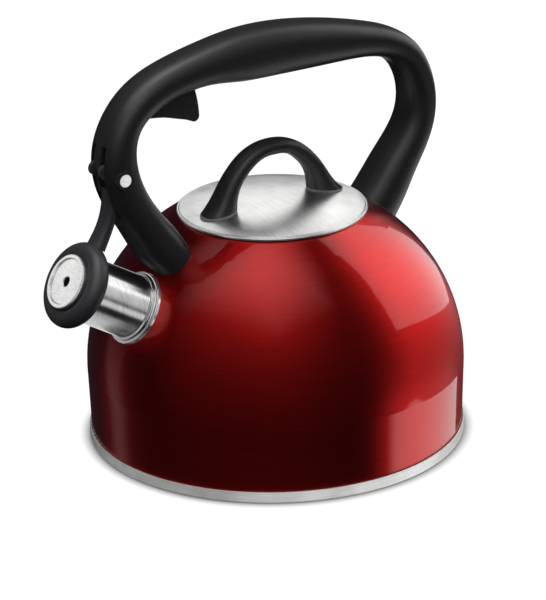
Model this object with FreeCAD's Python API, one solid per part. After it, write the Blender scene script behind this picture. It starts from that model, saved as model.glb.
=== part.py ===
"""Stovetop whistling kettle: lacquered steel body, lift-off lid, trigger-opened whistle cap.

Frame: origin at the centre of the base on the surface it stands on, +Z up, spout towards -X,
handle in the X-Z plane. Millimetres.
"""
import FreeCAD, Part
import math
import os

V = FreeCAD.Vector
ORIGIN = V(0, 0, 0)
UP = V(0, 0, 1)
ACROSS = V(0, 1, 0)

# ---------------------------------------------------------------- driving dimensions
# Body: a drawn shell, nearly straight to the shoulder and then a dome of two tangent arcs.
BASE_R = 95.0
BAND_HEIGHT = 5.8
WALL_FOOT_R = 94.0
SHEET = 0.8
SHOULDER_Z = 37.5
DOME_RISE = 90.8
SHOULDER_ARC = 88.8
NECK_R = 44.6
NECK_DEPTH = 12.0

# Lid: a shallow cover with a rolled rim, on a skirt that drops into the neck.
LID_R = 47.6
LID_RIM_Z = 117.85
LID_BEAD_R = 0.75
LID_CROWN_Z = 123.1
LID_SHEET = 0.8
SKIRT_R = 42.2
FOOT_SEAT = 0.9

# Spout: a straight tube on the front of the dome.
SPOUT_ANGLE = 31.0
SPOUT_FOOT = V(-80.8, 0, 82.8)
SPOUT_R = 16.0
SPOUT_REACH = 34.6
COLLAR_R = 18.3

# Whistle cap: a round moulded ring on a swinging arm, with a steel whistle in its front.
RING_R = 16.5
RING_ROLL = 5.0
RING_AT = 37.8
WHISTLE_R = 13.65
WHISTLE_FRONT = 44.8
WHISTLE_HOLE_R = 2.4

# Mechanism: the cap arm swings on a pin low in the handle, the trigger on one in its bend.
HINGE = V(-90.7, 0, 154.0)
HINGE_PIN_R = 2.0
HINGE_HEAD_R = 3.15
HINGE_HEAD_SEAT = 12.08
HINGE_BOSS_R = 4.7
HINGE_BOSS_HALF = 12.6
TRIGGER_PIVOT = V(-76.0, 0, 184.0)
TRIGGER_PIN_R = 1.5
CRANK = 8.35
CRANK_LEAD = 26.0
DRIVE_PIN_R = 1.5
RUNNING_FIT = 0.06
MOVING_GAP = 0.4
CHEEK_INNER = 3.2
CHEEK_OUTER = 5.6
TRIGGER_HALF = 4.9
LEVER_HALF = 2.6

# Handle: stations along its centre line, each (x, z, half depth in the plane, half width).
# The first and last lie inside the dome, which trims them.
HANDLE_STATIONS = [
    (-56.0, 97.0, 11.6, 15.5),
    (-66.0, 111.5, 11.0, 15.0),
    (-75.5, 125.5, 10.3, 13.4),
    (-84.0, 140.0, 10.0, 12.6),
    (-89.0, 156.0, 9.9, 12.3),
    (-88.2, 169.0, 8.9, 12.0),
    (-84.0, 178.6, 8.2, 11.6),
    (-77.0, 186.2, 8.4, 11.4),
    (-66.5, 192.3, 8.8, 11.4),
    (-54.0, 196.3, 9.1, 11.6),
    (-38.0, 199.0, 10.2, 12.0),
    (-19.0, 199.8, 12.6, 12.6),
    (0.0, 199.8, 13.1, 12.8),
    (20.0, 198.7, 12.2, 12.6),
    (40.0, 196.8, 10.3, 12.2),
    (58.0, 194.0, 8.4, 11.8),
    (70.0, 190.0, 7.9, 11.5),
    (79.5, 182.6, 8.0, 11.4),
    (85.5, 172.0, 8.0, 11.4),
    (88.0, 160.0, 8.2, 11.5),
    (86.5, 148.0, 8.6, 11.8),
    (81.5, 137.5, 9.3, 12.2),
    (73.5, 126.0, 10.4, 12.8),
    (64.5, 112.5, 11.8, 13.4),
    (55.0, 98.0, 12.6, 14.0),
]
HANDLE_ROUNDNESS = 2.5
COVER_DEPTH = 2.6
COVER_HALF = 5.0
COVER_STATIONS = (4, 10)
COVER_END_X = -56.4
PIECE_GAP = 0.1
PIN_GAP = 0.02
BRACKET_THICK = 3.0
BRACKET_HALF = 7.0
BRACKET_LENGTH = 25.0
SCREW_R = 1.6

# Lid loop: stations (outer x, outer z, inner x, inner z, half width), front half only.
LOOP_STATIONS = [
    (-41.5, 118.5, -22.0, 119.5, 8.6),
    (-38.2, 122.6, -22.3, 124.0, 7.9),
    (-33.2, 129.0, -21.6, 129.2, 7.0),
    (-28.8, 136.0, -19.3, 134.4, 6.4),
    (-23.2, 143.0, -15.4, 139.0, 6.1),
    (-15.6, 149.2, -10.3, 143.2, 6.0),
    (-6.5, 152.7, -4.4, 145.4, 5.9),
]
LOOP_TOP = (0.0, 153.3, 0.0, 145.6, 5.9)
LOOP_ROUNDNESS = 2.4
FOOT_X = 30.5
WASHER_R = 4.2


# ---------------------------------------------------------------- drawing helpers
def edges_of(steps, place):
    """Edges of a closed outline: a pair is a corner, a triple ("arc", middle, end) an arc."""
    edges = []
    start = place(*steps[0])
    here = start
    for step in steps[1:]:
        if step[0] == "arc":
            end = place(*step[2])
            edges.append(Part.Arc(here, place(*step[1]), end).toShape())
        else:
            end = place(*step)
            edges.append(Part.makeLine(here, end))
        here = end
    if here.distanceToPoint(start) > 1e-6:
        edges.append(Part.makeLine(here, start))
    return edges


def upright(r, z):
    return V(r, 0, z)


def outline_face(steps, place=upright):
    return Part.Face(Part.Wire(edges_of(steps, place)))


def spun(face):
    """A face turned about the kettle's axis, its seam on the far side, clear of every hole."""
    face.rotate(ORIGIN, UP, 90)
    return face.revolve(ORIGIN, UP, 360)


def turned(steps):
    """A solid of revolution about the kettle's own axis."""
    return spun(outline_face(steps))


def slab(steps, half_width, middle=0.0):
    """An outline in the handle's plane, given a thickness across it."""
    face = outline_face(steps)
    face.translate(V(0, middle - half_width, 0))
    return face.extrude(V(0, 2 * half_width, 0))


def pin_across(centre, radius, y_low, y_high):
    """A round bar across the handle's plane."""
    return Part.makeCylinder(radius, y_high - y_low, V(centre.x, y_low, centre.z), ACROSS)


def bar(start, end, radius):
    axis = end - start
    return Part.makeCylinder(radius, axis.Length, start, axis)


def mirrored(shape):
    """The same piece on the other side of the handle's plane."""
    return shape.mirror(ORIGIN, ACROSS)


def reversed_front_to_back(shape):
    return shape.mirror(ORIGIN, V(1, 0, 0))


def rounded_section(centre, half_depth, half_width, depth_axis, roundness):
    """Points round a closed section between an oval and a rectangle, edges softly rounded."""
    points = []
    turns = 24
    for i in range(turns):
        angle = 2 * math.pi * i / turns - math.pi / 2
        c = math.cos(angle)
        s = math.sin(angle)
        swell = (abs(c) ** roundness + abs(s) ** roundness) ** (-1 / roundness)
        points.append(centre + ACROSS * (half_width * swell * c) + depth_axis * (half_depth * swell * s))
    return points + points[:1]


def skinned(sections):
    """A solid with one smooth side through its sections and a flat face at each end."""
    surface = Part.BSplineSurface()
    surface.interpolate(sections)
    side = surface.toShape()
    faces = [side]
    for section in (sections[0], sections[-1]):
        middle = sum(section[1:], ORIGIN) * (1 / (len(section) - 1))
        rims = [e for e in side.Edges if e.isClosed() and e.CenterOfMass.distanceToPoint(middle) < 2.0]
        faces.append(Part.Face(Part.Wire(rims[:1])))
    shell = Part.Shell(faces)
    shell.sewShape()
    solid = Part.Solid(shell)
    if solid.Volume < 0:
        solid.reverse()
    return solid


def fused(first, *others):
    result = first
    for shape in others:
        result = result.fuse(shape)
    return result.removeSplitter()


def write(shape, name):
    solids = shape.Solids
    if len(solids) != 1 or not shape.isValid():
        raise RuntimeError("%s: %d solids, valid %s" % (name, len(solids), shape.isValid()))
    solids[0].exportStep("parts/" + name + ".step")
    print("%-26s %9.1f mm3" % (name, solids[0].Volume))


# ---------------------------------------------------------------- body
def crown_arc():
    """Radius of the dome's upper arc, which is centred on the axis and tangent to the shoulder's."""
    set_in = BASE_R - SHOULDER_ARC
    return (DOME_RISE ** 2 + set_in ** 2 - SHOULDER_ARC ** 2) / (2 * (DOME_RISE - SHOULDER_ARC))


def shoulder_centre():
    return V(BASE_R - SHOULDER_ARC, 0, SHOULDER_Z)


def crown_centre():
    return V(0, 0, SHOULDER_Z + DOME_RISE - crown_arc())


def joint_angle():
    """Angle above the horizontal at which the two arcs meet."""
    line = shoulder_centre() - crown_centre()
    return math.atan2(line.z, line.x)


def on_arc(centre, radius, angle):
    return V(centre.x + radius * math.cos(angle), 0, centre.z + radius * math.sin(angle))


def dome_z(r, lift=0.0):
    """Height of the dome's outer surface, or of one raised by lift, at radius r."""
    joint_r = (crown_arc() + lift) * math.cos(joint_angle())
    if r < joint_r:
        return crown_centre().z + math.sqrt((crown_arc() + lift) ** 2 - r ** 2)
    return SHOULDER_Z + math.sqrt((SHOULDER_ARC + lift) ** 2 - (r - shoulder_centre().x) ** 2)


def dome_arcs(lift, r_low):
    """The dome's outline, raised by lift, from radius r_low out to the shoulder."""
    crown_r = crown_arc() + lift
    top = math.acos(r_low / crown_r)
    joint = joint_angle()
    arcs = []
    for centre, radius, start, end in (
        (crown_centre(), crown_r, top, joint), (shoulder_centre(), SHOULDER_ARC + lift, joint, 0.0),
    ):
        middle = on_arc(centre, radius, (start + end) / 2)
        arcs.append(Part.Arc(on_arc(centre, radius, start), middle, on_arc(centre, radius, end)).toShape())
    return arcs


def dome_solid(lift):
    """Everything inside the dome's outer surface raised by lift, above the shoulder."""
    edges = dome_arcs(lift, 0.0)
    edges.append(Part.makeLine(V(0, 0, SHOULDER_Z + DOME_RISE + lift), V(0, 0, SHOULDER_Z)))
    edges.append(Part.makeLine(V(0, 0, SHOULDER_Z), V(BASE_R + lift, 0, SHOULDER_Z)))
    return spun(Part.Face(Part.Wire(Part.__sortEdges__(edges))))


def body_shell():
    """Foot inside the base band, leaning wall, dome, neck opening and spout hole."""
    foot_z = 1.4
    inner_r = WALL_FOOT_R - SHEET
    inside_r = BASE_R - SHEET
    edges = [
        Part.makeLine(V(inner_r, 0, foot_z), V(WALL_FOOT_R, 0, foot_z)),
        Part.makeLine(V(WALL_FOOT_R, 0, foot_z), V(WALL_FOOT_R, 0, BAND_HEIGHT)),
        Part.makeLine(V(WALL_FOOT_R, 0, BAND_HEIGHT), V(BASE_R, 0, SHOULDER_Z)),
        Part.makeLine(V(NECK_R, 0, dome_z(NECK_R)), V(NECK_R, 0, dome_z(NECK_R, -SHEET))),
        Part.makeLine(V(inside_r, 0, SHOULDER_Z), V(inner_r, 0, BAND_HEIGHT)),
        Part.makeLine(V(inner_r, 0, BAND_HEIGHT), V(inner_r, 0, foot_z)),
    ]
    edges += dome_arcs(0.0, NECK_R) + dome_arcs(-SHEET, NECK_R)
    shell = spun(Part.Face(Part.Wire(Part.__sortEdges__(edges))))
    return shell.cut(bar(on_spout(-12, 0), on_spout(12, 0), SPOUT_R + 0.1))


def base_cladding():
    """Steel cup that clads the base and shows as the bright band."""
    floor = 0.9
    inner_r = BASE_R - floor
    lip = (BASE_R + inner_r) / 2
    return turned([
        (0, 0), (BASE_R - 0.9, 0), ("arc", (BASE_R - 0.26, 0.26), (BASE_R, 0.9)),
        (BASE_R, BAND_HEIGHT - 0.4), ("arc", (lip, BAND_HEIGHT), (inner_r, BAND_HEIGHT - 0.4)),
        (inner_r, floor), (0, floor),
    ])


def heat_disc():
    """Aluminium disc that spreads the heat."""
    return Part.makeCylinder(92.6, 3.6, V(0, 0, 1.0))


def bottom_pan():
    """Steel floor of the water space, its lip welded inside the wall."""
    return turned([
        (0, 4.7), (91.6, 4.7), ("arc", (92.6, 5.1), (93.0, 6.1)), (93.0, 8.5),
        (92.2, 8.5), (92.2, 6.3), ("arc", (92.0, 5.7), (91.4, 5.5)), (0, 5.5),
    ])


def neck_ring():
    """Steel lining of the filler neck, its flange welded under the edge of the dome."""
    bore = NECK_R - 1.1
    outer = NECK_R - 0.3
    edge = NECK_R + 3.0
    under = -SHEET - 0.06
    low = dome_z(NECK_R) - NECK_DEPTH
    top = dome_z(NECK_R) - 0.2
    return turned([
        (bore, low), (outer, low), (outer, dome_z(outer, under) - 0.7), (edge, dome_z(edge, under) - 0.7),
        (edge, dome_z(edge, under)), (outer, dome_z(outer, under)), (outer, top),
        ("arc", (bore + 0.15, top - 0.1), (bore, top - 0.5)),
    ])


# ---------------------------------------------------------------- spout
def spout_axis():
    angle = math.radians(SPOUT_ANGLE)
    return V(-math.cos(angle), 0, math.sin(angle))


def on_spout(along, r):
    """A point along the spout's axis from its foot, and r from the axis on its upper side."""
    along_axis = spout_axis()
    outward = V(along_axis.z, 0, -along_axis.x)
    return SPOUT_FOOT + along_axis * along + outward * r


def spout_turned(steps):
    """A solid of revolution about the spout's axis, its outline in (along, radius)."""
    return outline_face(steps, on_spout).revolve(SPOUT_FOOT, spout_axis(), 360)


def spout_tube():
    """Open tube with a rolled mouth."""
    bore = SPOUT_R - SHEET
    middle = SPOUT_R - SHEET / 2
    return spout_turned([
        (-1.6, bore), (-1.6, SPOUT_R), (SPOUT_REACH - 0.4, SPOUT_R),
        ("arc", (SPOUT_REACH, middle), (SPOUT_REACH - 0.4, bore)),
    ])


def spout_collar():
    """Flared steel ring welded round the spout's foot, with a fine bead above the flare."""
    bore = SPOUT_R + 0.1
    ring = spout_turned([
        (-1.5, bore), (-1.5, COLLAR_R), (0.9, COLLAR_R),
        ("arc", (1.5, COLLAR_R - 0.1), (1.7, COLLAR_R - 0.6)),
        ("arc", (2.0, 17.15), (2.6, 16.9)), ("arc", (3.1, 17.25), (3.6, 16.9)),
        ("arc", (3.75, 16.6), (4.0, bore + 0.15)), (4.0, bore),
    ])
    return ring.cut(dome_solid(0.05))


# ---------------------------------------------------------------- handle
def handle_axes():
    """Centre and inward depth axis of each station, from the line through its neighbours."""
    centres = [V(x, 0, z) for x, z, depth, width in HANDLE_STATIONS]
    axes = []
    for i, centre in enumerate(centres):
        before = centres[max(i - 1, 0)]
        after = centres[min(i + 1, len(centres) - 1)]
        along = (after - before).normalize()
        axes.append((centre, V(along.z, 0, -along.x)))
    return axes


def handle_blank():
    sections = []
    for (centre, inward), (x, z, depth, width) in zip(handle_axes(), HANDLE_STATIONS):
        sections.append(rounded_section(centre, depth, width, inward * -1, HANDLE_ROUNDNESS))
    return skinned(sections)


def spline_edge(points):
    curve = Part.BSplineCurve()
    curve.interpolate(points)
    return curve.toShape()


def cover_band(depth, half_width, first, last):
    """The outer skin of the handle's bend, from station first to last, depth thick."""
    outside = []
    inside = []
    for (centre, inward), (x, z, half_depth, width) in list(zip(handle_axes(), HANDLE_STATIONS))[first:last]:
        outside.append(centre - inward * (half_depth + 4.0))
        inside.append(centre - inward * (half_depth - depth))
    edges = [
        spline_edge(outside),
        Part.makeLine(outside[-1], inside[-1]),
        spline_edge(inside),
        Part.makeLine(inside[0], outside[0]),
    ]
    face = Part.Face(Part.Wire(Part.__sortEdges__(edges)))
    face.translate(V(0, -half_width, 0))
    return face.extrude(V(0, 2 * half_width, 0))


def drive_pin_centre():
    """The drive pin stands before the line from the hinge to the trigger's pivot."""
    line = TRIGGER_PIVOT - HINGE
    angle = math.atan2(line.x, line.z) - math.radians(CRANK_LEAD)
    return HINGE + V(math.sin(angle), 0, math.cos(angle)) * CRANK


def lever_cavity():
    """Room inside the bend for the lever, the drive pin and the arm's cheeks."""
    lever_room = slab([
        (-96.0, 159.0), (-82.0, 156.0), (-79.8, 165.0), (-75.6, 175.0), (-69.5, 180.5),
        (-69.5, 189.5), (-79.5, 190.5), (-90.0, 176.0),
    ], LEVER_HALF + MOVING_GAP)
    sweep = pin_across(HINGE, CRANK + 3.2, -CHEEK_OUTER - 0.3, CHEEK_OUTER + 0.3)
    back_wall = HINGE.x + 9.3
    front_only = Part.makeBox(60, 40, 60, V(back_wall - 60, -20, HINGE.z - 8))
    return fused(lever_room, sweep.common(front_only))


def front_slots():
    """Two slots in the handle's front for the cheeks, and one groove below for the arm."""
    slot = Part.makeBox(20, CHEEK_OUTER - CHEEK_INNER + 0.6, 19.0,
                        V(HINGE.x - 18, CHEEK_INNER - 0.3, HINGE.z - 3.2))
    groove = slab([
        (-115, 118), (-89.0, 118), (-88.6, 131), (-86.6, 143), (-83.4, 149), (-83.4, 157), (-115, 157),
    ], CHEEK_OUTER + 0.3)
    return [slot, mirrored(slot), groove]


def trigger_pocket():
    return slab([
        (-80.8, 178.5), (-70.0, 170.0), (-42.4, 170.0), (-42.4, 197.2),
        (-60.0, 197.2), (-74.0, 191.0), (-80.8, 188.8),
    ], TRIGGER_HALF + MOVING_GAP)


def bracket(station_low, station_high, clearance, screw_side):
    """Steel tongue inside a handle root, on a foot welded to the dome, and its screw hole."""
    low = V(HANDLE_STATIONS[station_low][0], 0, HANDLE_STATIONS[station_low][1])
    high = V(HANDLE_STATIONS[station_high][0], 0, HANDLE_STATIONS[station_high][1])
    along = (high - low).normalize()
    normal = V(along.z, 0, -along.x)
    half = BRACKET_THICK / 2 + clearance
    length = BRACKET_LENGTH + clearance
    corners = [low - normal * half, low + normal * half]
    corners += [low + normal * half + along * length, low - normal * half + along * length]
    face = Part.Face(Part.makePolygon(corners + corners[:1]))
    face.translate(V(0, -BRACKET_HALF - clearance, 0))
    tongue = face.extrude(V(0, 2 * (BRACKET_HALF + clearance), 0))
    foot = bar(low - along * 6, low + along * 24, 8.0 + clearance)
    foot = foot.common(dome_solid(1.6 + clearance))
    body = fused(tongue, foot).cut(dome_solid(0.06))
    screw_at = low + along * (BRACKET_LENGTH - 6.0)
    return body, screw_at, normal * screw_side


def bracket_screw(screw_at, towards, head_out):
    """Cross-head screw from the hidden face of a root, through the bracket."""
    tip = screw_at - towards * 5.0
    neck = screw_at + towards * (head_out - 2.0)
    top = screw_at + towards * head_out
    screw = fused(bar(tip, neck, SCREW_R), bar(neck, top, 3.1))
    drive = Part.makeBox(4.0, 0.8, 0.9, V(-2.0, -0.4, 0))
    drive = drive.fuse(Part.makeBox(0.8, 4.0, 0.9, V(-0.4, -2.0, 0)))
    drive.Placement = FreeCAD.Placement(top - towards * 0.9, FreeCAD.Rotation(UP, towards))
    return screw.cut(drive)


def screw_room(screw_at, towards, head_out):
    tip = screw_at - towards * 5.2
    neck = screw_at + towards * (head_out - 2.02)
    return bar(tip, neck, SCREW_R + 0.05).fuse(bar(neck, neck + towards * 12, 3.3))


# ---------------------------------------------------------------- whistle cap
def cap_arm():
    """Ring, curved arm and two cheeks in one moulding."""
    bore = 12.0
    mouth = 18.2
    seat = WHISTLE_R + 0.05
    back = RING_AT - math.sqrt(RING_ROLL ** 2 - (mouth - RING_R) ** 2)
    front = RING_AT + math.sqrt(RING_ROLL ** 2 - (RING_R - seat) ** 2)
    ring = spout_turned([
        (35.8, bore), (35.8, 16.8), (back, mouth), ("arc", (RING_AT, RING_R + RING_ROLL), (front, seat)),
        (37.4, seat), (37.4, bore),
    ])
    centre_line = [(-91.6, 147.5), (-92.3, 140.0), (-94.3, 132.5), (-97.4, 125.6), (-101.4, 118.8)]
    sizes = [(3.6, CHEEK_OUTER), (3.3, 5.4), (3.1, 5.1), (3.2, 5.1), (3.6, 5.5)]
    sections = []
    for i, (x, z) in enumerate(centre_line):
        before = centre_line[max(i - 1, 0)]
        after = centre_line[min(i + 1, len(centre_line) - 1)]
        along = V(after[0] - before[0], 0, after[1] - before[1]).normalize()
        depth, width = sizes[i]
        sections.append(rounded_section(V(x, 0, z), depth, width, V(along.z, 0, -along.x), 2.8))
    stem = skinned(sections)
    stem = stem.cut(bar(on_spout(30, 0), on_spout(50, 0), RING_R))
    drive = drive_pin_centre()
    thick = CHEEK_OUTER - CHEEK_INNER
    cheek = pin_across(HINGE, 5.4, CHEEK_INNER, CHEEK_OUTER)
    cheek = fused(cheek, pin_across(drive, 2.8, CHEEK_INNER, CHEEK_OUTER))
    lobe = V(-96.9, 0, 157.3)
    cheek = fused(cheek, pin_across(lobe, 3.6, CHEEK_INNER, CHEEK_OUTER))
    web = slab([
        (-97.0, 153.7), (-95.3, 145.0), (-88.0, 145.0), (-85.4, 153.0), (-88.2, 161.8), (-93.2, 162.3),
        (-96.9, 160.8),
    ], thick / 2, (CHEEK_INNER + CHEEK_OUTER) / 2)
    cheek = fused(cheek, web)
    cheek = cheek.cut(pin_across(HINGE, HINGE_PIN_R + RUNNING_FIT, -20, 20))
    cheek = cheek.cut(pin_across(drive, DRIVE_PIN_R + 0.02, -20, 20))
    return stem.fuse(ring).fuse(cheek).fuse(mirrored(cheek))


def drive_pin():
    return pin_across(drive_pin_centre(), DRIVE_PIN_R, -CHEEK_OUTER, CHEEK_OUTER)


def whistle_front_plate():
    """Drawn disc with a raised rim and a bevelled hole."""
    hole = WHISTLE_HOLE_R
    return spout_turned([
        (43.3, hole), (43.6, hole), (44.0, hole + 0.4), (44.0, 11.2), (WHISTLE_FRONT, 11.8),
        (WHISTLE_FRONT, 13.0), ("arc", (44.6, 13.45), (44.1, WHISTLE_R)), (43.3, WHISTLE_R),
    ])


def whistle_rear_plate():
    return spout_turned([(38.2, WHISTLE_HOLE_R), (38.8, WHISTLE_HOLE_R), (38.8, 12.8), (38.2, 12.8)])


def whistle_cup():
    """Drawn cup that holds the two plates apart."""
    return spout_turned([
        (37.5, 9.0), (37.5, WHISTLE_R), (43.25, WHISTLE_R), (43.25, 12.95), (38.1, 12.95), (38.1, 9.0),
    ])


def cap_gasket():
    """Silicone washer that seals on the spout's mouth."""
    return spout_turned([(35.1, 13.4), (35.1, 16.5), (35.75, 16.6), (35.75, 13.4)])


def hinge_pin():
    """Polished rivet through the handle, a low domed head each side."""
    seat = 12.1
    crown = 12.95
    shaft = pin_across(HINGE, HINGE_PIN_R, -seat, seat)
    head = pin_across(HINGE, HINGE_HEAD_R, seat, crown)
    head = head.makeFillet(0.3, [e for e in head.Edges if abs(e.CenterOfMass.y - crown) < 1e-6])
    return fused(shaft, head, mirrored(head))


def trigger_pin():
    """Steel pin pressed in from the far side of the handle."""
    return pin_across(TRIGGER_PIVOT, TRIGGER_PIN_R, -8.4, 10.4)


def return_spring():
    """Close-wound torsion spring on the hinge pin, between the cheeks, one leg in the handle."""
    wire = 0.45
    coils = 5
    low = -wire * coils
    steps = [(2.3, low), (2.3 + wire, low)]
    for i in range(coils):
        y = low + 2 * wire * i
        steps.append(("arc", (2.3 + 2 * wire, y + wire), (2.3 + wire, y + 2 * wire)))
    steps.append((2.3, -low))
    body = outline_face(steps, lambda r, y: HINGE + V(r, y, 0)).revolve(HINGE, ACROSS, 360)
    leg_start = HINGE + V(0, low + wire, -2.3 - wire)
    leg = bar(leg_start, leg_start + V(9.0, 0, 0), wire - 0.02)
    return fused(body, leg)


# ---------------------------------------------------------------- trigger
def trigger_lever():
    """Finger blade under the bend, and an arm inside the handle forked round the drive pin."""
    blade = slab([
        (-78.0, 179.8), (-72.5, 179.2), (-63.0, 177.9), (-50.5, 174.3), (-47.6, 173.0),
        ("arc", (-44.6, 173.0), (-43.3, 175.2)), ("arc", (-43.9, 182.0), (-45.3, 188.6)),
        (-58.0, 189.6), (-72.5, 188.2), (-78.0, 187.0),
    ], TRIGGER_HALF)
    along_blade = [e for e in blade.Edges if abs(e.CenterOfMass.y) > TRIGGER_HALF - 0.01]
    low = [e for e in along_blade if e.CenterOfMass.z < 187.0 and e.CenterOfMass.x > -76.0]
    blade = blade.makeFillet(0.9, low)
    drive = drive_pin_centre()
    down = (drive - TRIGGER_PIVOT).normalize()
    side = V(down.z, 0, -down.x)
    outline = ((0.0, 3.0), (12.0, 2.2), (19.0, 3.0), (drive.distanceToPoint(TRIGGER_PIVOT) + 2.6, 3.0))
    left = [TRIGGER_PIVOT + down * along + side * half for along, half in outline]
    right = [TRIGGER_PIVOT + down * along - side * half for along, half in reversed(outline)]
    corners = left + right
    arm = Part.Face(Part.makePolygon(corners + corners[:1]))
    arm.translate(V(0, -LEVER_HALF, 0))
    arm = arm.extrude(V(0, 2 * LEVER_HALF, 0))
    hub = pin_across(TRIGGER_PIVOT, 4.2, -TRIGGER_HALF, TRIGGER_HALF)
    lever = fused(blade, arm, hub)
    gap = DRIVE_PIN_R + MOVING_GAP
    fork = [drive - down * 0.8 + side * gap, drive + down * 6 + side * gap]
    fork += [drive + down * 6 - side * gap, drive - down * 0.8 - side * gap]
    room = Part.Face(Part.makePolygon(fork + fork[:1]))
    room.translate(V(0, -6, 0))
    lever = lever.cut(room.extrude(V(0, 12, 0)))
    lever = lever.cut(pin_across(drive - down * 0.8, gap, -6, 6))
    return lever.cut(pin_across(TRIGGER_PIVOT, TRIGGER_PIN_R + RUNNING_FIT, -20, 20))


# ---------------------------------------------------------------- lid
def crown_z(r, drop=0.0):
    """Height of the lid's spherical top at radius r, or of the same surface drop below it."""
    rise = LID_CROWN_Z - LID_RIM_Z - LID_BEAD_R
    sphere_r = (LID_R ** 2 + rise ** 2) / (2 * rise)
    return LID_CROWN_Z - drop - sphere_r + math.sqrt(sphere_r ** 2 - r ** 2)


def crown_face(drop):
    """A face through the crown's outline, lowered by drop, closed on the axis far below."""
    low = 100.0
    edge = LID_R
    steps = [
        (0, low), (edge, low), (edge, crown_z(edge, drop)),
        ("arc", (edge / 2, crown_z(edge / 2, drop)), (0, crown_z(0, drop))),
    ]
    return turned(steps)


def lid_cover():
    """Spun disc with a low crown and a rolled rim."""
    inner = LID_R - 1.5
    seam = LID_R - 1.0
    cover = turned([
        (0, crown_z(0)), ("arc", (inner / 2, crown_z(inner / 2)), (inner, crown_z(inner))),
        (seam, LID_RIM_Z + LID_BEAD_R - 0.05),
        ("arc", (LID_R, LID_RIM_Z), (seam, LID_RIM_Z - LID_BEAD_R + 0.05)),
        (inner, crown_z(inner, LID_SHEET)),
        ("arc", (inner / 2, crown_z(inner / 2, LID_SHEET)), (0, crown_z(0, LID_SHEET))),
    ])
    for x in (-FOOT_X, FOOT_X):
        cover = cover.cut(Part.makeCylinder(SCREW_R + 0.3, 20, V(x, 0, 110), UP))
    return cover


def lid_skirt():
    """Steel skirt spot-welded under the cover."""
    inner = SKIRT_R - 0.7
    under = LID_SHEET + 0.06
    low = 108.0
    return turned([
        (inner, low), (SKIRT_R, low), (SKIRT_R, crown_z(SKIRT_R, under)), (37.0, crown_z(37.0, under)),
        (37.0, crown_z(37.0, under + 0.7)), (inner, crown_z(inner, under + 0.7)),
    ])


def lid_gasket():
    """Silicone ring with two lips, on the skirt."""
    inner = SKIRT_R + 0.04
    lip = SKIRT_R + 0.85
    return turned([
        (inner, 110.2), (lip, 110.6), (inner + 0.5, 111.8), (lip, 113.0), (inner, 113.8),
    ])


def loop_section(station):
    outer_x, outer_z, inner_x, inner_z, width = station
    outer = V(outer_x, 0, outer_z)
    inner = V(inner_x, 0, inner_z)
    depth_axis = outer - inner
    half_depth = depth_axis.Length / 2
    return rounded_section((outer + inner) * 0.5, half_depth, width, depth_axis.normalize(), LOOP_ROUNDNESS)


def lid_handle():
    """Moulded loop, its two feet spreading over the lid."""
    stations = list(LOOP_STATIONS) + [LOOP_TOP]
    for outer_x, outer_z, inner_x, inner_z, width in reversed(LOOP_STATIONS):
        stations.append((-outer_x, outer_z, -inner_x, inner_z, width))
    loop = skinned([loop_section(s) for s in stations])
    loop = loop.cut(crown_face(-FOOT_SEAT - 0.08))
    for x in (-FOOT_X, FOOT_X):
        loop = loop.cut(Part.makeCylinder(SCREW_R + 0.05, 14.1, V(x, 0, 117), UP))
    return loop


def lid_foot_gasket():
    """Thin seat between the front foot and the lid."""
    half_x = 9.6
    centre_x = -31.4
    ellipse = Part.Ellipse(V(centre_x, 0, 100), half_x, 8.0)
    pad = Part.Face(Part.Wire(ellipse.toShape())).extrude(V(0, 0, 40))
    layer = crown_face(-FOOT_SEAT).cut(crown_face(-0.04))
    pad = pad.common(layer)
    return pad.cut(Part.makeCylinder(SCREW_R + 0.3, 40, V(-FOOT_X, 0, 100), UP))


def screw_seat():
    """Top of a lid screw's head, under a washer that just touches the cover."""
    return crown_z(FOOT_X + WASHER_R, LID_SHEET) - 1.06


def lid_screw():
    """Screw up through the lid into the front foot, with a washer under its head."""
    seat = screw_seat()
    shank = Part.makeCylinder(SCREW_R, 130.5 - seat, V(-FOOT_X, 0, seat), UP)
    head = Part.makeCylinder(3.0, 2.0, V(-FOOT_X, 0, seat - 2.0), UP)
    drive = Part.makeBox(0.8, 4.0, 0.9, V(-FOOT_X - 0.4, -2.0, seat - 2.0))
    drive = drive.fuse(Part.makeBox(4.0, 0.8, 0.9, V(-FOOT_X - 2.0, -0.4, seat - 2.0)))
    return fused(shank, head).cut(drive)


def lid_washer():
    seat = screw_seat()
    ring = Part.makeCylinder(WASHER_R, 1.0, V(-FOOT_X, 0, seat + 0.02), UP)
    return ring.cut(Part.makeCylinder(SCREW_R + 0.15, 40, V(-FOOT_X, 0, 100), UP))


# ---------------------------------------------------------------- build
def handle_openings():
    """What is cut from the handle for the lever, its pins, the spring and the dome."""
    openings = [lever_cavity(), trigger_pocket(), *front_slots(), dome_solid(PIECE_GAP)]
    openings.append(pin_across(HINGE, HINGE_PIN_R + PIN_GAP, -20, 20))
    head_room = HINGE_HEAD_R + PIECE_GAP
    openings.append(pin_across(HINGE, head_room, -30, -HINGE_HEAD_SEAT))
    openings.append(pin_across(HINGE, head_room, HINGE_HEAD_SEAT, 30))
    openings.append(pin_across(TRIGGER_PIVOT, TRIGGER_PIN_R + PIN_GAP, -8.5, 20))
    spring_leg = HINGE + V(0, -1.8, -2.75)
    openings.append(bar(spring_leg, spring_leg + V(9.2, 0, 0), 0.5))
    return openings


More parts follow.
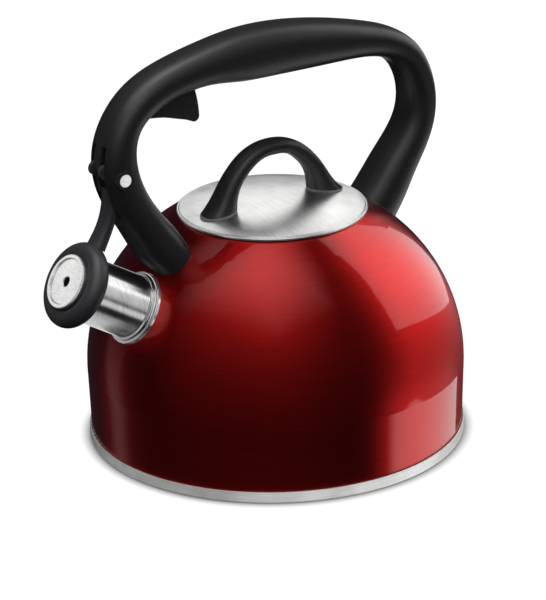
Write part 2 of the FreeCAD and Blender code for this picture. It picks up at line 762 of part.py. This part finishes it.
def root_fixing(handle, name, stations, head_out):
    """Writes the bracket and screw in one root of the handle, and returns the handle with room for them."""
    room, screw_at, towards = bracket(*stations, clearance=0.15, screw_side=1)
    tongue, screw_at, towards = bracket(*stations, clearance=0.0, screw_side=1)
    hole = bar(screw_at - towards * 5, screw_at + towards * 5, SCREW_R + 0.05)
    write(tongue.cut(hole), name + "_bracket")
    write(bracket_screw(screw_at, towards, head_out), name + "_bracket_screw")
    return handle.cut(room).cut(screw_room(screw_at, towards, head_out))


def write_handle():
    """The handle, the cover over its channel, and the brackets and screws in its roots."""
    blank = fused(handle_blank(), pin_across(HINGE, HINGE_BOSS_R, -HINGE_BOSS_HALF, HINGE_BOSS_HALF))
    handle = blank.cut(cover_band(COVER_DEPTH, COVER_HALF + PIECE_GAP, *COVER_STATIONS))
    for opening in handle_openings():
        handle = handle.cut(opening)
    handle = root_fixing(handle, "front", stations=(0, 2), head_out=8.6)
    handle = root_fixing(handle, "rear", stations=(24, 22), head_out=9.8)
    write(handle, "handle")

    cover = blank.common(cover_band(COVER_DEPTH - PIECE_GAP, COVER_HALF, *COVER_STATIONS))
    cover = cover.cut(Part.makeBox(30, 40, 30, V(COVER_END_X, -20, 190)))
    for slot in front_slots():
        cover = cover.cut(slot)
    write(cover, "handle_channel_cover")


PIECES = (
    body_shell, base_cladding, heat_disc, bottom_pan, neck_ring, spout_tube, spout_collar,
    hinge_pin, trigger_pin, return_spring,
    cap_arm, drive_pin, whistle_front_plate, whistle_rear_plate, whistle_cup, cap_gasket, trigger_lever,
    lid_cover, lid_skirt, lid_gasket, lid_handle,
)
FRONT_AND_REAR_PIECES = (lid_foot_gasket, lid_screw, lid_washer)


def main():
    os.makedirs("parts", exist_ok=True)
    for piece in PIECES:
        write(piece(), piece.__name__)
    write_handle()
    for piece in FRONT_AND_REAR_PIECES:
        shape = piece()
        write(shape, piece.__name__ + "_front")
        write(reversed_front_to_back(shape), piece.__name__ + "_rear")


main()
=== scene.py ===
"""Stovetop whistling kettle: the finishes of its pieces, and a plain studio for it."""
import math

import bpy
from mathutils import Matrix, Vector

bl_info = {
    "name": "Whistling kettle finishes",
    "version": (1, 0, 0),
    "blender": (4, 5, 0),
    "location": "View3D > Sidebar > Kettle",
    "description": "Finishes a packed stovetop kettle and sets up a studio for it",
    "category": "Object",
}

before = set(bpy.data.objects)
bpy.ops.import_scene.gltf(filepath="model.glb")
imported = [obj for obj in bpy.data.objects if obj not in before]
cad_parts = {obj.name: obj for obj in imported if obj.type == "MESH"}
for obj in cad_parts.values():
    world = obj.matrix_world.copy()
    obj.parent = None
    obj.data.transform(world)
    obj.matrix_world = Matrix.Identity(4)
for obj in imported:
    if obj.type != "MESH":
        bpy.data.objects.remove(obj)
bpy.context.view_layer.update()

MM = 0.001
# Height of the brush marks, and of the grain that the etched mould leaves.
BRUSH_DEPTH = 0.02 * MM
GRAIN_DEPTH = 0.05 * MM
# Handling leaves cloudy patches about this wide on bare steel. They are this share of its pattern.
WEAR_PATCH = 11 * MM
WEAR_SHARE = 0.45
# The sheen of a moulding changes over about this distance.
SHEEN_PATCH = 25 * MM
# The shadow painted into the floor's glow reaches this far out from the base. The floor is darkest where
# this share of the space over it is open, and pure white from the higher share on.
CONTACT_SHADOW = 7 * MM
SHADOW_OPENNESS, SHADOW_LEVEL = 0.45, 0.2
PAPER_OPENNESS, PAPER_LEVEL = 0.95, 1.05
# Width of the camera's sensor in millimetres, and how far it sees in metres.
SENSOR_WIDTH = 36.0
CAMERA_REACH = 20.0


# ---------------------------------------------------------------- shared helpers
def linear(hex_colour):
    """An sRGB hex colour such as 8c1216 as linear red, green, blue and alpha."""
    channels = []
    for i in (0, 2, 4):
        c = int(hex_colour[i:i + 2], 16) / 255
        channels.append(c / 12.92 if c <= 0.04045 else ((c + 0.055) / 1.055) ** 2.4)
    return (*channels, 1.0)


def shade(hex_colour, factor):
    """The same sRGB hex colour, lighter or darker by the factor."""
    channels = [int(hex_colour[i:i + 2], 16) for i in (0, 2, 4)]
    return "".join("%02x" % min(255, round(channel * factor)) for channel in channels)


def add(tree, kind, settings=None, values=None, links=None, stops=()):
    """One shader node: its own settings, its sockets' values, and what feeds its sockets.

    The stops are a colour ramp's two positions, each with its sRGB hex colour.
    """
    made = tree.nodes.new(kind)
    for name, value in (settings or {}).items():
        setattr(made, name, value)
    for name, value in (values or {}).items():
        made.inputs[name].default_value = value
    for name, source in (links or {}).items():
        tree.links.new(source, made.inputs[name])
    for i, (position, colour) in enumerate(stops):
        made.color_ramp.elements[i].position = position
        made.color_ramp.elements[i].color = linear(colour)
    return made


def new_material(name):
    """A new material without any node, and its node tree."""
    material = bpy.data.materials.new(name)
    material.use_nodes = True
    tree = material.node_tree
    tree.nodes.clear()
    return material, tree


def streaks(tree, spacing_mm, stretch, axis="Z"):
    """Brush marks that run round the axis: noise as fine as the spacing along it, drawn out across it.

    Real brush marks are about 0.1 mm apart. They are drawn several times coarser, because at
    their real spacing none would show.
    """
    place = add(tree, "ShaderNodeTexCoord").outputs["Object"]
    fine = 1 / (spacing_mm * MM)
    coarse = fine / stretch
    scale = {"Z": (coarse, coarse, fine), "X": (fine, coarse, coarse)}[axis]
    drawn = add(tree, "ShaderNodeMapping", values={"Scale": scale}, links={"Vector": place})
    values = {"Scale": 1.0, "Detail": 3.0, "Roughness": 0.6}
    return add(tree, "ShaderNodeTexNoise", values=values, links={"Vector": drawn.outputs[0]})


def give(material, *nodes):
    """Puts one finish on every material slot of the named CAD pieces."""
    for name in nodes:
        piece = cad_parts[name]
        if not piece.material_slots:
            piece.data.materials.append(material)
        for slot in piece.material_slots:
            slot.material = material
        for face in piece.data.polygons:
            face.use_smooth = True


# ---------------------------------------------------------------- settings
class KettleFinishes(bpy.types.PropertyGroup):
    """Colours and surface grain that a user would change."""

    lacquer: bpy.props.StringProperty(
        name="Lacquer", description="sRGB hex colour of the red lacquer over the steel", default="f22624")
    steel: bpy.props.StringProperty(
        name="Steel", description="sRGB hex colour of the brushed steel pieces", default="c9c9c8")
    plastic: bpy.props.StringProperty(
        name="Mouldings", description="sRGB hex colour of the black mouldings", default="262627")
    brush_spacing: bpy.props.FloatProperty(
        name="Brush spacing", description="Distance between the drawn brush marks, in millimetres",
        default=0.45, min=0.05, max=3.0)
    moulding_grain: bpy.props.FloatProperty(
        name="Moulding grain", description="Size of the drawn grain of the mouldings, in millimetres",
        default=0.5, min=0.1, max=3.0)
    lacquer_roughness: bpy.props.FloatProperty(
        name="Steel under lacquer", description="Roughness of the brushed steel below the lacquer",
        default=0.42, min=0.0, max=1.0, subtype="FACTOR")


class KettleStudio(bpy.types.PropertyGroup):
    """The room that the kettle stands in."""

    floor_size: bpy.props.FloatProperty(
        name="Floor", description="Width of the pale floor", default=6.0, min=1.0, unit="LENGTH")
    card_distance: bpy.props.FloatProperty(
        name="Card distance", description="Distance from the kettle to the light cards",
        default=2.5, min=1.0, unit="LENGTH")
    camera_distance: bpy.props.FloatProperty(
        name="Camera distance", description="Level distance from the kettle's axis to the camera",
        default=1.5, min=0.5, unit="LENGTH")
    camera_height: bpy.props.FloatProperty(
        name="Camera height", description="Height of the camera above the floor",
        default=0.6592, min=0.0, unit="LENGTH")
    camera_side: bpy.props.FloatProperty(
        name="Camera side", description="Angle of the camera from the kettle's side towards its spout",
        default=math.radians(33), subtype="ANGLE")
    camera_pan: bpy.props.FloatProperty(
        name="Camera pan", description="Angle that the camera turns right of the kettle's axis",
        default=math.radians(-0.02305), subtype="ANGLE")
    camera_tilt: bpy.props.FloatProperty(
        name="Camera tilt", description="Angle that the camera looks down from the level",
        default=math.radians(21.5087), subtype="ANGLE")
    camera_roll: bpy.props.FloatProperty(
        name="Camera roll", description="Angle that the camera is turned about its line of sight",
        default=math.radians(-1.31186), subtype="ANGLE")
    lens: bpy.props.FloatProperty(
        name="Lens", description="Focal length", default=192.9, min=20.0, unit="CAMERA")


# ---------------------------------------------------------------- finishes
class KETTLE_OT_lacquered_body(bpy.types.Operator):
    """Red lacquer over the brushed steel body"""

    bl_idname = "kettle.lacquered_body"
    bl_label = "Lacquered body"

    def execute(self, context):
        finishes = context.scene.kettle_finishes
        # Candy lacquer on round-brushed stainless steel: the steel gives wide, soft red glows
        # that spread up and down, and the clear gloss on top mirrors the lights sharply.
        material, tree = new_material("candy red lacquer on brushed steel")
        marks = streaks(tree, finishes.brush_spacing, stretch=60).outputs["Fac"]
        # The marks are a little darker than the steel between them, and their roughness swings.
        darker, swing = 0.9, 0.05
        roughness = finishes.lacquer_roughness
        rough = add(tree, "ShaderNodeMapRange",
                    values={"To Min": roughness - swing, "To Max": roughness + swing},
                    links={"Value": marks})
        relief = add(tree, "ShaderNodeBump", values={"Strength": 0.25, "Distance": BRUSH_DEPTH},
                     links={"Height": marks})
        tone = add(tree, "ShaderNodeValToRGB", links={"Fac": marks},
                   stops=((0.25, shade(finishes.lacquer, darker)), (0.75, finishes.lacquer)))
        round_the_body = add(tree, "ShaderNodeTangent", {"direction_type": "RADIAL", "axis": "Z"})
        lacquer = add(
            tree, "ShaderNodeBsdfPrincipled",
            values={"Metallic": 1.0, "Anisotropic": 0.8, "Anisotropic Rotation": 0.25, "Coat Weight": 0.75,
                    "Coat Roughness": 0.03, "Coat IOR": 1.5},
            links={"Base Color": tone.outputs[0], "Roughness": rough.outputs[0], "Normal": relief.outputs[0],
                   "Tangent": round_the_body.outputs[0]})
        # The shell's inner wall has no lacquer: it is drawn stainless steel, smooth and grey.
        # A surface that faces the kettle's middle is inside.
        dull = add(tree, "ShaderNodeMapRange", values={"To Min": 0.28, "To Max": 0.38},
                   links={"Value": marks})
        bare = add(tree, "ShaderNodeBsdfPrincipled",
                   values={"Metallic": 1.0, "Base Color": linear(finishes.steel)},
                   links={"Roughness": dull.outputs[0]})
        place = add(tree, "ShaderNodeTexCoord")
        facing = add(tree, "ShaderNodeVectorMath", {"operation": "DOT_PRODUCT"},
                     links={0: place.outputs["Object"], 1: place.outputs["Normal"]})
        outside = add(tree, "ShaderNodeMath", {"operation": "GREATER_THAN"}, {1: 0.0},
                      {0: facing.outputs["Value"]})
        both = add(tree, "ShaderNodeMixShader",
                   links={0: outside.outputs[0], 1: bare.outputs[0], 2: lacquer.outputs[0]})
        add(tree, "ShaderNodeOutputMaterial", links={"Surface": both.outputs[0]})
        give(material, "body_shell")
        return {"FINISHED"}


def brushed_metal(name, colour, spacing, roughness, metallic=1.0, stretch=60, anisotropic=0.0, axis="Z"):
    """Bare metal with brush marks round the axis, and faint cloudy wear over them."""
    material, tree = new_material(name)
    marks = streaks(tree, spacing, stretch, axis).outputs["Fac"]
    place = add(tree, "ShaderNodeTexCoord").outputs["Object"]
    wear = add(tree, "ShaderNodeTexNoise", values={"Scale": 1 / WEAR_PATCH, "Detail": 3.0},
               links={"Vector": place})
    pattern = add(tree, "ShaderNodeMix", values={"Factor": WEAR_SHARE},
                  links={"A": marks, "B": wear.outputs["Fac"]}).outputs[0]
    # The marks are darker than the metal between them, and their roughness swings.
    darker, swing = 0.84, 0.1
    rough = add(tree, "ShaderNodeMapRange", values={"To Min": roughness - swing, "To Max": roughness + swing},
                links={"Value": pattern})
    relief = add(tree, "ShaderNodeBump", values={"Strength": 0.3, "Distance": BRUSH_DEPTH},
                 links={"Height": marks})
    tone = add(tree, "ShaderNodeValToRGB", links={"Fac": pattern},
               stops=((0.35, shade(colour, darker)), (0.65, colour)))
    tangent = add(tree, "ShaderNodeTangent", {"direction_type": "RADIAL", "axis": axis})
    shader = add(
        tree, "ShaderNodeBsdfPrincipled", values={"Metallic": metallic, "Anisotropic": anisotropic},
        links={"Base Color": tone.outputs[0], "Roughness": rough.outputs[0], "Normal": relief.outputs[0],
               "Tangent": tangent.outputs[0]})
    add(tree, "ShaderNodeOutputMaterial", links={"Surface": shader.outputs[0]})
    return material


class KETTLE_OT_steel_base(bpy.types.Operator):
    """Brushed band, base and the steel and aluminium inside"""

    bl_idname = "kettle.steel_base"
    bl_label = "Steel base"

    def execute(self, context):
        finishes = context.scene.kettle_finishes
        # Satin stainless steel, brushed round the base: an even light grey with fine level lines.
        # A part-metallic shader gives it the paleness of fine satin steel, whatever it mirrors.
        band = brushed_metal("satin steel band", "d2d2d0", finishes.brush_spacing, roughness=0.42,
                             metallic=0.45, anisotropic=0.4)
        give(band, "base_cladding")
        # Plain drawn stainless steel inside the body: smooth, slightly cloudy.
        inner = brushed_metal("drawn steel", finishes.steel, spacing=1.5, roughness=0.3, stretch=8)
        give(inner, "bottom_pan", "neck_ring", "lid_skirt")
        # Milled aluminium disc: paler and duller than the steel, with round tool marks.
        disc = brushed_metal("milled aluminium", "d6d7d9", spacing=1.0, roughness=0.45, stretch=20)
        give(disc, "heat_disc")
        return {"FINISHED"}


class KETTLE_OT_spun_lid(bpy.types.Operator):
    """Spun and brushed lid cover"""

    bl_idname = "kettle.spun_lid"
    bl_label = "Spun lid"

    def execute(self, context):
        # Spun stainless steel, brushed with a fine pad: blurred white and grey reflections
        # under a fine level grain.
        steel = brushed_metal("spun brushed steel", "d4d4d3", spacing=0.6, roughness=0.3, stretch=25,
                              anisotropic=0.2, axis="X")
        give(steel, "lid_cover")
        return {"FINISHED"}


class KETTLE_OT_spout_steel(bpy.types.Operator):
    """Bright brushed spout tube and collar"""

    bl_idname = "kettle.spout_steel"
    bl_label = "Spout steel"

    def execute(self, context):
        # Bright-brushed stainless tube: clear light and dark bands along it, fine lines round it.
        steel = brushed_metal("bright brushed tube steel", "cfcfcf", spacing=0.35, roughness=0.2, stretch=30,
                              anisotropic=0.3, axis="X")
        give(steel, "spout_tube", "spout_collar")
        return {"FINISHED"}


class KETTLE_OT_whistle_steel(bpy.types.Operator):
    """Satin steel of the whistle"""

    bl_idname = "kettle.whistle_steel"
    bl_label = "Whistle steel"

    def execute(self, context):
        # Pressed stainless steel with a satin finish: pale and even, its rim catching the light.
        steel = brushed_metal("pressed satin steel", "dadad9", spacing=0.7, roughness=0.3, metallic=0.9,
                              stretch=6)
        give(steel, "whistle_front_plate", "whistle_rear_plate", "whistle_cup")
        return {"FINISHED"}


def etched_moulding(name, colour, grain_mm, roughness):
    """A moulding with the fine grain of an etched mould and a soft sheen that changes a little over it.

    The real grain is about 0.1 mm. It is drawn several times coarser, so that some of it shows.
    """
    material, tree = new_material(name)
    place = add(tree, "ShaderNodeTexCoord").outputs["Object"]
    values = {"Scale": 1 / (grain_mm * MM), "Detail": 2.0, "Roughness": 0.5}
    grain = add(tree, "ShaderNodeTexNoise", values=values, links={"Vector": place}).outputs["Fac"]
    cloud = add(tree, "ShaderNodeTexNoise", values={"Scale": 1 / SHEEN_PATCH, "Detail": 2.0},
                links={"Vector": place})
    # The grain's high points are paler, and the roughness swings from patch to patch.
    paler, swing = 1.3, 0.04
    rough = add(tree, "ShaderNodeMapRange", values={"To Min": roughness - swing, "To Max": roughness + swing},
                links={"Value": cloud.outputs["Fac"]})
    relief = add(tree, "ShaderNodeBump", values={"Strength": 0.6, "Distance": GRAIN_DEPTH},
                 links={"Height": grain})
    tone = add(tree, "ShaderNodeValToRGB", links={"Fac": grain},
               stops=((0.35, colour), (0.75, shade(colour, paler))))
    shader = add(
        tree, "ShaderNodeBsdfPrincipled", values={"IOR": 1.53},
        links={"Base Color": tone.outputs[0], "Roughness": rough.outputs[0], "Normal": relief.outputs[0]})
    add(tree, "ShaderNodeOutputMaterial", links={"Surface": shader.outputs[0]})
    return material


class KETTLE_OT_mouldings(bpy.types.Operator):
    """Black mouldings: handle, cover strip, trigger, whistle cap and lid loop"""

    bl_idname = "kettle.mouldings"
    bl_label = "Mouldings"

    def execute(self, context):
        finishes = context.scene.kettle_finishes
        # Glass-filled nylon from a lightly etched mould: near black, with a soft wide sheen.
        grip = etched_moulding("etched black nylon", finishes.plastic, finishes.moulding_grain, roughness=0.4)
        give(grip, "handle", "handle_channel_cover", "trigger_lever", "lid_handle")
        # The cap's nylon is a little greyer, with a finer and duller grain.
        cap = etched_moulding("etched black nylon, cap", "37373a", finishes.moulding_grain * 0.8,
                              roughness=0.45)
        give(cap, "cap_arm")
        return {"FINISHED"}


class KETTLE_OT_hardware(bpy.types.Operator):
    """Rivet, pins, spring, brackets and screws"""

    bl_idname = "kettle.hardware"
    bl_label = "Hardware"

    def execute(self, context):
        # Polished steel rivet: a small disc, nearly white whatever it mirrors, so part-metallic.
        rivet = brushed_metal("polished rivet steel", "ececec", spacing=0.8, roughness=0.25, metallic=0.6,
                              stretch=4)
        give(rivet, "hinge_pin")
        # Plain zinc-plated hardware: greyer and duller than the stainless pieces.
        plated = brushed_metal("zinc-plated steel", "a9acb0", spacing=0.9, roughness=0.36, stretch=5)
        give(plated, "trigger_pin", "drive_pin", "return_spring", "front_bracket", "rear_bracket",
             "front_bracket_screw", "rear_bracket_screw", "lid_screw_front", "lid_screw_rear",
             "lid_washer_front", "lid_washer_rear")
        return {"FINISHED"}


class KETTLE_OT_seals(bpy.types.Operator):
    """Silicone gaskets and foot seats"""

    bl_idname = "kettle.seals"
    bl_label = "Seals"

    def execute(self, context):
        # Moulded silicone rubber: dull, with a faint bloom.
        for name, colour, nodes in (
            ("black silicone", "26262a", ("cap_gasket", "lid_gasket")),
            ("grey silicone", "a8a8a6", ("lid_foot_gasket_front", "lid_foot_gasket_rear")),
        ):
            give(etched_moulding(name, colour, grain_mm=0.8, roughness=0.55), *nodes)
        return {"FINISHED"}


# ---------------------------------------------------------------- studio
SPOUT = ("spout_tube", "spout_collar")
LID = ("lid_cover",)
MOULDINGS = ("handle", "handle_channel_cover", "trigger_lever", "lid_handle", "cap_arm")
PLATES = ("whistle_front_plate", "hinge_pin", "base_cladding")
STEELS = (*LID, *SPOUT, *PLATES, "whistle_rear_plate", "neck_ring", "lid_skirt")
WHISTLE = ("whistle_front_plate", "whistle_rear_plate")

# The light cards: name, corners, strength, and the only pieces that a card lights, or () for all.
# A corner is its angle round from +X, its angle above the level, both in degrees, and its
# softness: the share of the way to the card's middle at which the glow reaches full strength.
CARDS = (
    # The tall window with a curved top edge that the right of the body mirrors.
    ("right_panel", (
        (-10, 62, 0.1), (-36, 36, 0.05), (-39, 17, 0.02), (25, -9, 0.02), (36, -9, 0.05), (24, 28, 0.1),
        (15, 65, 0.1)), 1.4, ()),
    # The lower part of that window, below a darker gap.
    ("right_panel_low", (
        (-54, -20, 0.35), (-32, -18, 0.1), (22, -22, 0.02), (22, -50, 0.0), (-54, -50, 0.35)), 1.45, ()),
    # The wide soft glow on the body's shoulder.
    ("overhead", (
        (110, 44, 1), (160, 32, 1), (-120, 32, 1), (-70, 42, 1), (0, 70, 1), (60, 56, 1)), 1.2, ()),
    # The faint upright glows at the body's left side and at its far right edge.
    ("left_strip", ((112, -60, 1), (138, -60, 1), (138, 12, 1), (112, 12, 1)), 0.22, ()),
    ("back_edge", ((51, -40, 0.2), (63, -40, 0.2), (63, -4, 0.2), (51, -4, 0.2)), 0.9, ()),
    # A bright patch on the lid, and enough light from all sides to keep the bare steel pale.
    ("lid_glow", ((20, 4, 1), (80, 4, 1), (88, 56, 1), (12, 56, 1)), 1.7, LID),
    ("steel_canopy", tuple((side, 10, 0.1) for side in range(0, 360, 45)), 0.35, STEELS),
    ("far_side_low", ((105, -30, 0.1), (200, -30, 0.1), (200, 10, 0.4), (105, 10, 0.4)), 0.5, STEELS),
    ("far_side", ((110, 0, 0.5), (200, 0, 0.5), (200, 50, 0.5), (110, 50, 0.5)), 0.8, LID + SPOUT),
    ("spout_side", ((200, 0, 0.5), (290, 0, 0.5), (290, 50, 0.5), (200, 50, 0.5)), 0.8, LID + SPOUT),
    ("near_side", ((-70, 0, 0.5), (5, 0, 0.5), (5, 50, 0.5), (-70, 50, 0.5)), 0.8, LID),
    ("plate_glow", ((96, -12, 0.8), (156, -12, 0.8), (156, 44, 0.8), (96, 44, 0.8)), 1.1, WHISTLE),
    # The broad sheen of the mouldings, and the brighter lines along the grip and its front bend.
    ("moulding_glow", ((-175, 5, 1), (-75, 5, 1), (-60, 60, 1), (170, 60, 1)), 1.3, MOULDINGS),
    ("grip_streak", ((12, 68, 1), (102, 68, 1), (-168, 68, 1), (-78, 68, 1)), 6.5, MOULDINGS),
    ("bend_streak", ((171, 42, 1), (201, 58, 1), (171, 74, 1), (141, 58, 1)), 5.0, MOULDINGS),
    # The grey, white and lower bands that run along the spout's tube.
    ("spout_grey", ((-58, -20, 0.1), (-30, -10, 0.1), (-30, 40, 0.1), (-58, 25, 0.1)), 0.9, SPOUT),
    ("spout_white", ((-75, -36, 0.2), (-45, -36, 0.2), (-45, -18, 0.2), (-75, -18, 0.2)), 1.2, SPOUT),
    ("spout_below", (
        (-80, -58, 0.2), (-30, -55, 0.2), (45, -26, 0.2), (75, -26, 0.2), (130, -60, 0.2)), 1.0, SPOUT),
    # An even light from the front on the whistle's plate, the rivet and the band.
    ("front_glow", ((-150, -40, 0.2), (-10, -40, 0.2), (-10, 25, 0.6), (-150, 25, 0.6)), 1.1, PLATES),
)


def direction(side, rise):
    """A unit vector at an angle round from +X and an angle above the level, in degrees."""
    a = math.radians(side)
    e = math.radians(rise)
    return Vector((math.cos(e) * math.cos(a), math.cos(e) * math.sin(a), math.sin(e)))


def light_card(name, corners, strength, only):
    """A glowing card round the kettle, from one row of CARDS."""
    far = bpy.context.scene.kettle_studio.card_distance
    rim = [direction(side, rise) * far for side, rise, soft in corners]
    middle = sum(rim, Vector()) / len(rim)
    inner = [point.lerp(middle, corner[2]) for point, corner in zip(rim, corners)]
    count = len(rim)
    faces = [(i, (i + 1) % count, count + (i + 1) % count, count + i) for i in range(count)]
    faces += [(count + i, count + (i + 1) % count, 2 * count) for i in range(count)]
    mesh = bpy.data.meshes.new(name)
    mesh.from_pydata([*rim, *inner, middle], [], faces)
    level = mesh.attributes.new("level", "FLOAT", "POINT")
    for i in range(2 * count + 1):
        level.data[i].value = 0.0 if i < count else 1.0
    card = bpy.data.objects.new(name, mesh)
    bpy.context.scene.collection.objects.link(card)
    material, tree = new_material(name + " glow")
    fall = add(tree, "ShaderNodeAttribute", {"attribute_name": "level"}).outputs["Fac"]
    smooth = add(tree, "ShaderNodeMapRange", {"interpolation_type": "SMOOTHSTEP"}, {"To Max": strength},
                 {"Value": fall})
    glow = add(tree, "ShaderNodeEmission", links={"Strength": smooth.outputs[0]})
    # The card is clear as well, so that it hides no other card behind it.
    clear = add(tree, "ShaderNodeBsdfTransparent")
    both = add(tree, "ShaderNodeAddShader", links={0: glow.outputs[0], 1: clear.outputs[0]})
    add(tree, "ShaderNodeOutputMaterial", links={"Surface": both.outputs[0]})
    mesh.materials.append(material)
    card.visible_camera = False
    card.visible_shadow = False
    if only:
        lit = bpy.data.collections.new(name + " receivers")
        for piece in only:
            lit.objects.link(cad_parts[piece])
        card.light_linking.receiver_collection = lit


class KETTLE_OT_studio(bpy.types.Operator):
    """White floor, light cards and camera"""

    bl_idname = "kettle.studio"
    bl_label = "Studio"

    def execute(self, context):
        scene = context.scene
        studio = scene.kettle_studio
        half = studio.floor_size / 2
        mesh = bpy.data.meshes.new("floor")
        corners = [(-half, -half, 0), (half, -half, 0), (half, half, 0), (-half, half, 0)]
        mesh.from_pydata(corners, [], [(0, 1, 2, 3)])
        floor = bpy.data.objects.new("floor", mesh)
        scene.collection.objects.link(floor)
        # White paper that glows by itself: pure white, with a painted shadow that greys only a narrow line by
        # the kettle.
        material, tree = new_material("white glowing paper with painted shadow")
        # The shadow is painted: the paper's glow is dimmed where little of the space over it is open.
        near = add(tree, "ShaderNodeAmbientOcclusion", {"samples": 16}, {"Distance": CONTACT_SHADOW})
        bright = add(tree, "ShaderNodeMapRange",
                     values={"From Min": SHADOW_OPENNESS, "From Max": PAPER_OPENNESS,
                             "To Min": SHADOW_LEVEL, "To Max": PAPER_LEVEL},
                     links={"Value": near.outputs["AO"]})
        glow = add(tree, "ShaderNodeEmission", links={"Strength": bright.outputs[0]})
        add(tree, "ShaderNodeOutputMaterial", links={"Surface": glow.outputs[0]})
        mesh.materials.append(material)
        floor.visible_glossy = False
        floor.visible_diffuse = False

        for name, corners, strength, only in CARDS:
            light_card(name, corners, strength, only)

        world = bpy.data.worlds.new("studio")
        scene.world = world
        world.use_nodes = True
        tree = world.node_tree
        tree.nodes.clear()
        # The room is white to look at and dark to the kettle, whose light comes from the cards.
        # The Mix node's colours go into its sockets 6 and 7 and come out of its output 2.
        seen = add(tree, "ShaderNodeLightPath").outputs["Is Camera Ray"]
        tint = add(tree, "ShaderNodeMix", {"data_type": "RGBA"}, {6: linear("272329"), 7: linear("ffffff")},
                   {"Factor": seen})
        back = add(tree, "ShaderNodeBackground", links={"Color": tint.outputs[2]})
        add(tree, "ShaderNodeOutputWorld", links={"Surface": back.outputs[0]})

        side = studio.camera_side
        place = Vector((-math.sin(side), -math.cos(side), 0)) * studio.camera_distance
        place.z = studio.camera_height
        heading = Matrix.Rotation(-(side + studio.camera_pan), 4, "Z")
        tilt = Matrix.Rotation(math.pi / 2 - studio.camera_tilt, 4, "X")
        roll = Matrix.Rotation(studio.camera_roll, 4, "Z")
        data = bpy.data.cameras.new("camera")
        data.lens = studio.lens
        data.sensor_width = SENSOR_WIDTH
        data.clip_end = CAMERA_REACH
        camera = bpy.data.objects.new("camera", data)
        camera.matrix_world = Matrix.Translation(place) @ heading @ tilt @ roll
        scene.collection.objects.link(camera)
        scene.camera = camera
        scene.view_settings.view_transform = "Standard"
        # The lacquer's own colour is kept off the steel and the mouldings beside it.
        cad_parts["body_shell"].visible_glossy = False
        return {"FINISHED"}


# ---------------------------------------------------------------- panel and run
OPERATORS = (
    KETTLE_OT_lacquered_body, KETTLE_OT_steel_base, KETTLE_OT_spun_lid, KETTLE_OT_spout_steel,
    KETTLE_OT_whistle_steel, KETTLE_OT_mouldings, KETTLE_OT_hardware, KETTLE_OT_seals, KETTLE_OT_studio,
)


class KETTLE_PT_panel(bpy.types.Panel):
    """The kettle's settings and steps"""

    bl_label = "Kettle"
    bl_idname = "KETTLE_PT_panel"
    bl_space_type = "VIEW_3D"
    bl_region_type = "UI"
    bl_category = "Kettle"

    def draw(self, context):
        for group in (context.scene.kettle_finishes, context.scene.kettle_studio):
            box = self.layout.box()
            for name in group.bl_rna.properties.keys():
                if name not in ("rna_type", "name"):
                    box.prop(group, name)
        for operator in OPERATORS:
            self.layout.operator(operator.bl_idname)


CLASSES = (KettleFinishes, KettleStudio, *OPERATORS, KETTLE_PT_panel)


def register():
    for cls in CLASSES:
        bpy.utils.register_class(cls)
    bpy.types.Scene.kettle_finishes = bpy.props.PointerProperty(type=KettleFinishes)
    bpy.types.Scene.kettle_studio = bpy.props.PointerProperty(type=KettleStudio)


def unregister():
    del bpy.types.Scene.kettle_studio
    del bpy.types.Scene.kettle_finishes
    for cls in reversed(CLASSES):
        bpy.utils.unregister_class(cls)


def main():
    register()
    for operator in OPERATORS:
        group, name = operator.bl_idname.split(".")
        getattr(getattr(bpy.ops, group), name)()


if __name__ == "__main__":
    main()
